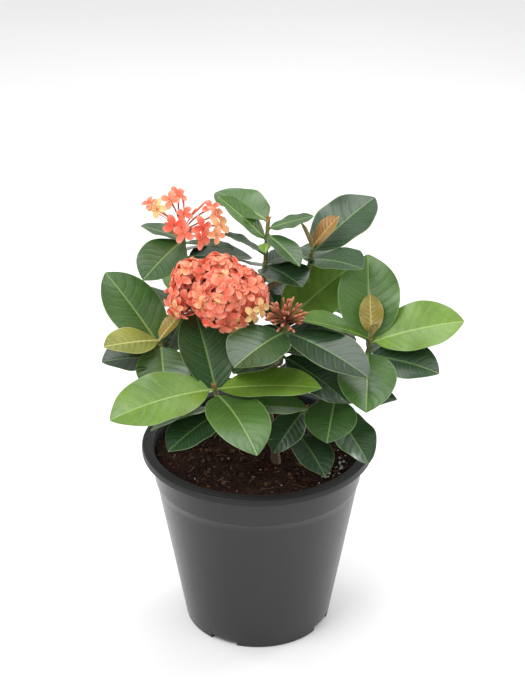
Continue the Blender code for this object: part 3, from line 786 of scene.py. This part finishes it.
def make_pot(finish):
    """The turned pot, whose foot ring is cut away at the four drain notches."""
    angles = set(np.round(np.linspace(0, 360, POT_SIDES, endpoint=False), 3))
    for notch in NOTCH_ANGLES:
        for edge in (notch - 90 - NOTCH_HALF_ANGLE, notch - 90 + NOTCH_HALF_ANGLE):
            angles |= {round((edge + side) % 360, 3) for side in (-NOTCH_EDGE, NOTCH_EDGE)}
    angles = sorted(angles)
    points, rings = [], []
    for radius, height in pot_profile():
        if radius == 0:
            rings.append([len(points)] * len(angles))
            points.append((0, 0, height))
            continue
        rings.append([len(points) + n for n in range(len(angles))])
        cut = radius > FOOT_INNER_RADIUS - 0.5 and height < NOTCH_HEIGHT
        for angle in angles:
            lifted = NOTCH_HEIGHT if cut and in_notch(angle) else height
            turn = radians(angle)
            points.append((radius * cos(turn), radius * sin(turn), lifted))
    faces = []
    for low, high in zip(rings, rings[1:]):
        for n in range(len(angles)):
            m = (n + 1) % len(angles)
            faces.append(tuple(dict.fromkeys((low[n], low[m], high[m], high[n]))))
    shape = Shape()
    shape.add(points, faces)
    shape.piece("pot_shell", finish, "pot", "pot")


# Soil.
def soil_height(x, y):
    """The surface's height in millimetres: the solid's waves, with lumps and grit on them."""
    u, v = x * MM, y * MM
    height = SOIL_TOP + SOIL_WAVE_A[0] * sin(u * SOIL_WAVE_A[1] + 1) * cos(v * SOIL_WAVE_A[2])
    height += SOIL_WAVE_B[0] * sin(u * SOIL_WAVE_B[1] - v * SOIL_WAVE_B[2])
    height += SOIL_LUMPS[0] * noise.fractal(Vector((x, y, 0)) * SOIL_LUMPS[1], 1.0, 2.0, 5)
    return height + SOIL_GRIT[0] * noise.fractal(Vector((x, y, 7)) * SOIL_GRIT[1], 0.8, 2.0, 3)


def make_soil(finish):
    """Rings from the middle of the surface outwards, then down the side to the middle of the foot."""
    rings = [(SOIL_RADIUS * ring / SOIL_RINGS, None) for ring in range(1, SOIL_RINGS + 1)]
    rings += SOIL_FOOT
    points, faces = [(0, 0, soil_height(0, 0))], []
    for radius, height in rings:
        for n in range(SOIL_SIDES):
            angle = 2 * pi * n / SOIL_SIDES
            x, y = radius * cos(angle), radius * sin(angle)
            points.append((x, y, soil_height(x, y) if height is None else height))
    last = len(points) - SOIL_SIDES
    points.append((0, 0, SOIL_FOOT[-1][1]))
    for n in range(SOIL_SIDES):
        m = (n + 1) % SOIL_SIDES
        faces.append((0, 1 + n, 1 + m))
        for inner in range(1, last, SOIL_SIDES):
            outer = inner + SOIL_SIDES
            faces.append((inner + n, outer + n, outer + m, inner + m))
        faces.append((last + n, len(points) - 1, last + m))
    shape = Shape()
    shape.add(points, faces)
    shape.piece("soil_bed", finish, "soil", "soil")


def icosahedron():
    """Twelve corners 1 from the middle, and twenty faces: each three corners that lie next to each other."""
    golden = (1 + sqrt(5)) / 2
    corners = []
    for a, b in ((1, golden), (-1, golden), (1, -golden), (-1, -golden)):
        corners += [(0, a, b), (a, b, 0), (b, 0, a)]
    corners = np.array(corners)
    edge = 2
    near = [[abs(np.linalg.norm(a - b) - edge) < 0.01 for b in corners] for a in corners]
    faces = []
    for a, b, c in combinations(range(12), 3):
        if near[a][b] and near[b][c] and near[a][c]:
            outward = np.linalg.det(corners[[a, b, c]]) > 0
            faces.append((a, b, c) if outward else (a, c, b))
    return corners / sqrt(1 + golden**2), faces


def lump(corners, centre, size, draws):
    """A rough grain: a ball's corners at uneven distances, stretched."""
    reach = draws.normal(1, 0.32, 12)[:, None]
    stretch = 1 + 0.35 * draws.standard_normal(3).clip(-1.6, 1.6)
    return np.asarray(centre) + corners * reach.clip(0.45, 1.6) * stretch * size


def soil_spot(draws, reach=LITTER_REACH):
    radius = SOIL_RADIUS * reach * sqrt(draws.random())
    angle = 2 * pi * draws.random()
    return radius * cos(angle), radius * sin(angle)


def make_litter(crumb_finish, perlite_finish, fibre_finish):
    draws = np.random.default_rng(SEEDS["litter"])
    corners, faces = icosahedron()
    crumbs = Shape()
    for _ in range(CRUMBS):
        x, y = soil_spot(draws)
        size = 0.5 + 1.5 * draws.random() ** 3
        centre = (x, y, soil_height(x, y) + 0.25 * size)
        crumbs.add(lump(corners, centre, size, draws), faces, tint=draws.random())
    crumbs.piece("soil_crumbs", crumb_finish, "soil")
    perlite = Shape()
    for number in range(PERLITE_BITS):
        x, y = soil_spot(draws)
        size = 0.35 + 0.45 * draws.random() ** 2
        if number % 2 == 0:
            x, y = (middle + spread * (draws.random() - 0.5) for middle, spread in PERLITE_PATCH)
            size += draws.random() ** 3
        centre = (x, y, soil_height(x, y) + 0.35 * size)
        perlite.add(lump(corners, centre, size, draws), faces, tint=draws.random())
    perlite.piece("soil_perlite", perlite_finish, "soil")
    fibres = Shape()
    for _ in range(FIBRES):
        x, y = soil_spot(draws, FIBRE_REACH)
        heading, bend = 2 * pi * draws.random(), 0.9 * (draws.random() - 0.5)
        length = 3 + 9 * draws.random() ** 2
        path = []
        for share in np.linspace(0, 1, len(FIBRE_GIRTHS)):
            height = soil_height(x, y) + 0.25 + 0.9 * draws.random() * sin(pi * share)
            path.append((x, y, height))
            x += length * cos(heading) / (len(FIBRE_GIRTHS) - 1)
            y += length * sin(heading) / (len(FIBRE_GIRTHS) - 1)
            heading += bend
            if x * x + y * y > (0.97 * SOIL_RADIUS) ** 2:
                heading += pi / 2
        girth = 0.16 + 0.2 * draws.random()
        radii = [girth * part for part in FIBRE_GIRTHS]
        fibres.add_tube(path, radii, 4, tint=draws.random())
    fibres.piece("soil_fibres", fibre_finish, "soil")


# Stems.
def shoot_line(shoot):
    """The straight green stem's foot, apex and direction."""
    foot, apex = (vector(*spot) for spot in STEMS[shoot][-2:])
    return foot, apex, unit(apex - foot)


def knobbly(radii, draws):
    """Uneven girths, with a slight swelling at every sixth ring or so."""
    knobs = [draws.normal(0, 0.045) + 0.15 * max(0, sin(1.1 * n)) ** 6 for n in range(len(radii))]
    return radii * (1 + np.array(knobs))


def make_woody_stems(finish):
    draws = np.random.default_rng(SEEDS["bark"])
    shape = Shape()
    trunk = smooth_path(TRUNK, 8)
    radii = np.linspace(TRUNK_RADIUS, BRANCH_RADIUS, len(trunk))
    shape.add_tube(trunk, knobbly(radii, draws), BARK_SIDES)
    for shoot, (*route, _, _) in STEMS.items():
        foot, _, direction = shoot_line(shoot)
        path = [*smooth_path([*route, foot - direction * BRANCH_END], 7), foot]
        radii = np.linspace(BRANCH_RADIUS, TWIG_RADIUS, len(path))
        shape.add_tube(path, knobbly(radii, draws), BARK_SIDES)
    shape.piece("stems_bark", finish, "bark", "woody_stems")


def pointed_scale(base, direction, normal, length, width):
    """A small pointed scale, cupped round its stem."""
    side = np.cross(direction, normal)
    points, rows, columns = [], 6, 5
    for layer in (0.12, -0.12):
        for row in np.linspace(0, 1, rows):
            half = width / 2 * (1 - row**1.6) ** 0.8 + 0.05
            for column in np.linspace(-1, 1, columns):
                lift = 0.14 * length * row**2 - 0.5 * half * column**2
                spot = base + direction * row * length - side * half * column
                points.append(spot + normal * (lift + layer))
    return points, sheet_faces(rows, columns)


def make_green_stems(stem_finish, scale_finish):
    draws = np.random.default_rng(SEEDS["scales"])
    stems, scales = Shape(), Shape()
    for shoot, leaves in LEAVES.items():
        foot, apex, direction = shoot_line(shoot)
        length = np.linalg.norm(apex - foot)
        drops = sorted({leaf[0] for leaf in leaves})
        path, radii = [], []
        for share in np.linspace(0, 1, 16):
            spot = foot + (apex - foot) * share
            below = length * (1 - share)
            near = max(0, *(1 - abs(below - drop) / 2.4 for drop in drops))
            path.append(spot)
            radii.append(TWIG_RADIUS * (1 - 0.2 * share) * (1 + 0.28 * near))
        stems.add_tube(path, radii, GREEN_SIDES)
        for drop in drops:
            base = apex - direction * (drop + 0.5)
            across, _ = plane_axes(direction, 2 * pi * draws.random())
            for side in (across, -across):
                scales.add(*pointed_scale(base + side * 1.7, direction, side, 3.2, 3.4))
        if shoot in FLOWERING or any(shoot == held for held, _ in YOUNG_LEAVES.values()):
            continue
        for number in range(5):
            across, _ = plane_axes(direction, number * 1.9)
            tilt = unit(direction + across * 0.35)
            normal = unit(across - tilt * (across @ tilt))
            base = apex + across * 0.7 - direction * 0.6
            scales.add(*pointed_scale(base, tilt, normal, 6.5 - 0.7 * number, 3.0))
    stems.piece("stems_green", stem_finish, "bark")
    scales.piece("stipules", scale_finish, "young_leaf")


# Leaves.
def half_width(share):
    """The blade's half width along its length, as a part of its greatest half width."""
    along = (share - PETIOLE_SHARE) / (1 - PETIOLE_SHARE)
    if along <= 0:
        return 0
    if along < WIDEST:
        return (1 - (1 - along / WIDEST) ** BASE_CURVE[0]) ** BASE_CURVE[1]
    return max(0, 1 - ((along - WIDEST) / (1 - WIDEST)) ** TIP_CURVE[0]) ** TIP_CURVE[1]


def leaf_frame(azimuth, pitch, roll):
    """The tangent, left side and upper normal of a blade."""
    a, p, r = radians(azimuth), radians(pitch), radians(roll)
    tangent = vector(cos(a) * cos(p), sin(a) * cos(p), sin(p))
    left = vector(-sin(a), cos(a), 0)
    normal = np.cross(tangent, left)
    return tangent, left * cos(r) + normal * sin(r), normal * cos(r) - left * sin(r)


def add_blade(shape, base, azimuth, rise, length, width, bend, roll, fold, shade, draws, quilt=QUILT):
    """A closed blade with a thick midrib, grooves at its side veins and a wavy edge."""
    across = [*(-share for share in reversed(BLADE_COLUMNS[1:])), *BLADE_COLUMNS]
    waves = 1.6 + 1.2 * draws.random()
    starts = 2 * pi * draws.random(2)
    ripple = RIPPLE * (0.5 + draws.random()) * min(1, width / 40)
    tilt = tan(radians(fold))
    upper, lower, alongs, sides, gaps = [], [], [], [], []
    place, last = vector(*base), 0
    for step in range(BLADE_ROWS):
        even = step / (BLADE_ROWS - 1)
        share = 0.5 * even + 0.25 * (1 - cos(pi * even))
        tangent, _, _ = leaf_frame(azimuth, rise + bend * (0.5 - (share + last) / 2), roll)
        place = place + tangent * (share - last) * length
        last = share
        _, left, normal = leaf_frame(azimuth, rise + bend * (0.5 - share), roll)
        half = max(PETIOLE_HALF_WIDTH * (1 - 0.9 * share**8), width / 2 * half_width(share))
        if step == BLADE_ROWS - 1:
            half = 0.25
        open_blade = half_width(share) if share > PETIOLE_SHARE else 0
        for t in across:
            out = abs(t)
            lift = half * (tilt + EDGE_LIFT * (share - 0.5)) * out**1.22
            start = starts[0] if t > 0 else starts[1]
            lift += ripple * open_blade * sin(2 * pi * waves * share + start) * out**2.4
            phase = VEINS * (share - VEIN_SWEEP * out**VEIN_CURVE) + (VEIN_OFFSET if t < 0 else 0)
            lift -= quilt * open_blade * cos(2 * pi * phase) * 4 * out * (1 - out)
            gap = out * half
            groove = GROOVE_DEPTH * open_blade * np.exp(-((gap / GROOVE_WIDTH) ** 2))
            rib = RIB_DEPTH * (1 - 0.72 * share) * np.exp(-((gap / RIB_WIDTH) ** 2))
            spot = place - left * half * t + normal * lift
            upper.append(spot + normal * (BLADE_HALF_THICKNESS - groove))
            lower.append(spot - normal * (BLADE_HALF_THICKNESS + rib))
            alongs.append(share)
            sides.append(t)
            gaps.append(gap)
    shape.add(
        upper + lower,
        sheet_faces(BLADE_ROWS, len(across)),
        along=alongs + alongs,
        across=sides + sides,
        from_rib=gaps + gaps,
        shade=shade,
        under=[0] * len(upper) + [1] * len(lower),
    )


def make_leaves(finish, bronze):
    draws = np.random.default_rng(SEEDS["leaves"])
    for shoot, leaves in LEAVES.items():
        _, apex, direction = shoot_line(shoot)
        shape = Shape()
        for drop, *blade, shade in leaves:
            varied = min(1, max(0, draws.normal(shade, SHADE_SCATTER)))
            add_blade(shape, apex - direction * drop, *blade, varied, draws)
        shape.piece(shoot + "_leaves", finish, "leaf", shoot)
    for name, (shoot, blades) in YOUNG_LEAVES.items():
        _, apex, direction = shoot_line(shoot)
        shape = Shape()
        for *blade, shade in blades:
            add_blade(shape, apex + direction * YOUNG_RISE, *blade, shade, draws, YOUNG_QUILT)
        shape.piece(name + "_blades", bronze, "young_leaf", name)


# Florets and buds.
def add_lobe(shape, centre, out_way, normal, radius, curl, hue):
    """One petal: a closed sheet that widens from the throat to a blunt point."""
    rows, columns = 8, 5
    side_way = np.cross(normal, out_way)
    points, outs = [], []
    for layer in (0.22, -0.22):
        for row in np.linspace(0, 1, rows):
            reach = radius * (0.1 + 0.9 * row)
            belly = sin(pi * min(1, row**0.92 * 0.93)) ** 0.8
            half = radius * (0.09 + 0.24 * belly) * (1 if row < 1 else 0.2)
            for column in np.linspace(-1, 1, columns):
                height = radius * (0.1 * row - curl * row**2 + 0.12 * column**2 * sin(pi * row))
                crease = -0.15 * (1 - abs(column)) * sin(pi * row)
                spot = centre + out_way * reach - side_way * half * column
                points.append(spot + normal * (height + crease + layer * (1 - 0.5 * abs(column))))
                outs.append(row)
    shape.add(points, sheet_faces(rows, columns), out=outs, hue=hue)


def add_floret(shape, root, centre, normal, radius, turn, hue, draws):
    """Four lobes at the end of a thin tube, with a style and four short stamens in the throat."""
    a, b = plane_axes(normal, turn)
    curl = draws.normal(0.16, 0.1)
    for lobe in range(4):
        angle = draws.normal(pi / 2 * lobe, 0.08)
        out_way = a * cos(angle) + b * sin(angle)
        size = radius * draws.normal(1, 0.06)
        own_curl = draws.normal(curl, 0.1)
        add_lobe(shape, centre, out_way, normal, size, own_curl, hue)
    middle = (root + centre) / 2 + 0.06 * np.linalg.norm(centre - root) * a
    path = smooth_path([root, middle, centre + normal * 0.15], 3)
    girths = [0.75] * (len(path) - 2) + [0.95, 1.35]
    shape.add_tube(path, girths, 7, out=TUBE_MARK, hue=hue)
    style = [centre, centre + normal * 1.6, centre + normal * 3.2 + a * 0.4]
    shape.add_tube(style, (0.28, 0.22, 0.42), 5, out=np.repeat((0, 0.05, 0.1), 5), hue=0.15 * hue)
    for number in range(4):
        angle = pi / 2 * (number + 0.5)
        way = a * cos(angle) + b * sin(angle)
        stamen = [centre + way * reach + normal * lift for reach, lift in ((0, 0.3), (1.3, 0.6), (2.6, 0.7))]
        shape.add_tube(stamen, (0.2, 0.3, 0.12), 4, out=0.5, hue=min(1, hue + 0.35))


def add_club(shape, base, tip, scale, hue, draws):
    """A closed bud: a thin tube, slightly bent, with a swollen pointed end."""
    along = tip - base
    sway, _ = plane_axes(unit(along), 2 * pi * draws.random())
    bow = sway * 0.05 * np.linalg.norm(along)
    path = [base + along * share + bow * sin(pi * share) for share in BUD_SHARES]
    radii = [girth * scale for girth in BUD_GIRTHS]
    shape.add_tube(path, radii, BUD_SIDES, out=np.repeat(BUD_SHARES, BUD_SIDES), hue=hue)


def ball_directions(count, lowest):
    """Directions spread evenly over a ball from its top down to a height."""
    golden = pi * (3 - sqrt(5))
    for n in range(count):
        height = 1 - (n + 0.5) / count * (1 - lowest)
        reach = sqrt(1 - height * height)
        yield vector(reach * cos(n * golden), reach * sin(n * golden), height)


def heap_surface(centre, direction):
    """Where a ray from the head's centre leaves its last bunch, and the outward way there."""
    best, found = 0, None
    for *middle, radius in HEAD_BUNCHES:
        offset = centre - vector(*middle)
        along = offset @ direction
        inside = along**2 - (offset @ offset - radius**2)
        if inside > 0 and sqrt(inside) - along > best:
            best = sqrt(inside) - along
            found = vector(*middle)
    spot = centre + direction * best
    return spot, unit(spot - found)


def add_stalk(shape, shoot, end):
    _, apex, direction = shoot_line(shoot)
    path = smooth_path([apex - direction * 0.5, apex + direction * 4, end], 4)
    shape.add_tube(path, np.linspace(*STALK_RADII, len(path)), 8, out=TUBE_MARK, hue=0)


def make_flower_head(finish):
    draws = np.random.default_rng(SEEDS["head"])
    shape = Shape()
    centre = vector(*HEAD_CENTRE)
    add_stalk(shape, "shoot_flower", centre - vector(0, 0, 6))
    layers = [(way, depth) for count, depth in HEAD_LAYERS for way in ball_directions(count, HEAD_LOWEST)]
    for direction, depth in layers:
        direction = unit(draws.normal(direction, 0.1))
        spot, outward = heap_surface(centre, direction)
        normal = unit(draws.normal(outward, 0.22))
        spot = spot - outward * (depth + 2.4 * draws.random())
        root = centre + 0.35 * (spot - centre) - vector(0, 0, 4)
        hue = draws.normal(*HEAD_HUES) - LOWER_REDDER * (direction[2] < 0)
        if draws.random() < YELLOW_SHARE:
            hue = YELLOW_HUES[0]
        size = FLORET_RADIUS * draws.normal(1, 0.07)
        add_floret(shape, root, spot, normal, size, 2 * pi * draws.random(), min(1, max(0, hue)), draws)
    for number, place in enumerate(HEAD_YELLOW):
        normal = unit(unit(vector(*place) - centre) + vector(0, -0.6, 0.4))
        add_floret(shape, centre, vector(*place), normal, FLORET_RADIUS, 0.5 * number, YELLOW_HUES[1], draws)
    shape.piece("flower_head_florets", finish, "petal", "flower_head")


def make_flower_cluster(finish):
    draws = np.random.default_rng(SEEDS["cluster"])
    shape = Shape()
    _, apex, direction = shoot_line("shoot_top_left")
    fork = apex + direction * 4
    add_stalk(shape, "shoot_top_left", fork + direction * 3)
    for number, (x, y, z, width, hue) in enumerate(CLUSTER_FLORETS):
        place = vector(x, y, z)
        normal = unit(draws.normal(unit(place - fork) + vector(0, -0.35, 0.2), 0.35))
        add_floret(shape, fork, place, normal, width / 2 * 1.05, number * 0.7, hue, draws)
    for *tip, girth in CLUSTER_BUDS:
        add_club(shape, fork, vector(*tip), girth, 0.15, draws)
    shape.piece("flower_cluster_florets", finish, "petal", "flower_cluster")


def make_bud_cluster(finish):
    draws = np.random.default_rng(SEEDS["buds"])
    shape = Shape()
    centre = vector(*BUD_CENTRE)
    add_stalk(shape, "shoot_buds", centre)
    for direction in ball_directions(BUD_COUNT, BUD_LOWEST):
        direction = unit(draws.normal(direction, 0.2))
        reach = BUD_LENGTH * (0.58 + 0.4 * draws.random())
        root = centre + direction * 2.5 - vector(0, 0, 2)
        scale = BUD_SCALE * draws.normal(1, 0.12)
        add_club(shape, root, centre + direction * reach, scale, draws.random() ** 2, draws)
    shape.piece("bud_cluster_buds", finish, "bud", "bud_cluster")


# Stage.
def make_stage():
    bpy.ops.mesh.primitive_plane_add(size=FLOOR_SIZE)
    floor = bpy.context.object
    floor.name = "studio_floor"
    floor.data.materials.append(floor_white())
    data = bpy.data.cameras.new("camera")
    data.lens = LENS
    data.sensor_width = 36
    data.clip_end = 40
    camera = place_object("camera", data)
    camera.location = CAMERA_PLACE
    camera.rotation_euler = (radians(CAMERA_TILT), 0, 0)
    bpy.context.scene.camera = camera
    for name, place, size, power in LAMPS:
        light = bpy.data.lights.new(name, "AREA")
        light.shape = "DISK"
        light.size = size
        light.energy = power
        lamp = place_object(name, light)
        lamp.location = place
        lamp.rotation_euler = (Vector((0, 0, 0.2)) - Vector(place)).to_track_quat("-Z", "Y").to_euler()
    world = bpy.data.worlds.new("studio")
    world.use_nodes = True
    background = world.node_tree.nodes["Background"]
    background.inputs["Color"].default_value = (1, 1, 1, 1)
    background.inputs["Strength"].default_value = WORLD_STRENGTH
    bpy.context.scene.world = world
    bpy.context.scene.view_settings.view_transform = "Standard"


make_stage()
make_pot(plastic())
make_soil(peat())
make_litter(
    tinted("soil_crumb", (0.004, 0.003, 0.002), (0.13, 0.055, 0.028), 0.95),
    tinted("perlite", (0.42, 0.38, 0.33), (0.88, 0.86, 0.82), 0.8),
    tinted("coco_fibre", (0.05, 0.02, 0.01), (0.26, 0.13, 0.06), 0.85),
)
make_woody_stems(bark())
make_green_stems(green_stem(), scale_tan())
make_leaves(old_leaf(), bronze_leaf())
waxy = petal()
make_flower_head(waxy)
make_flower_cluster(waxy)
make_bud_cluster(bud_skin())
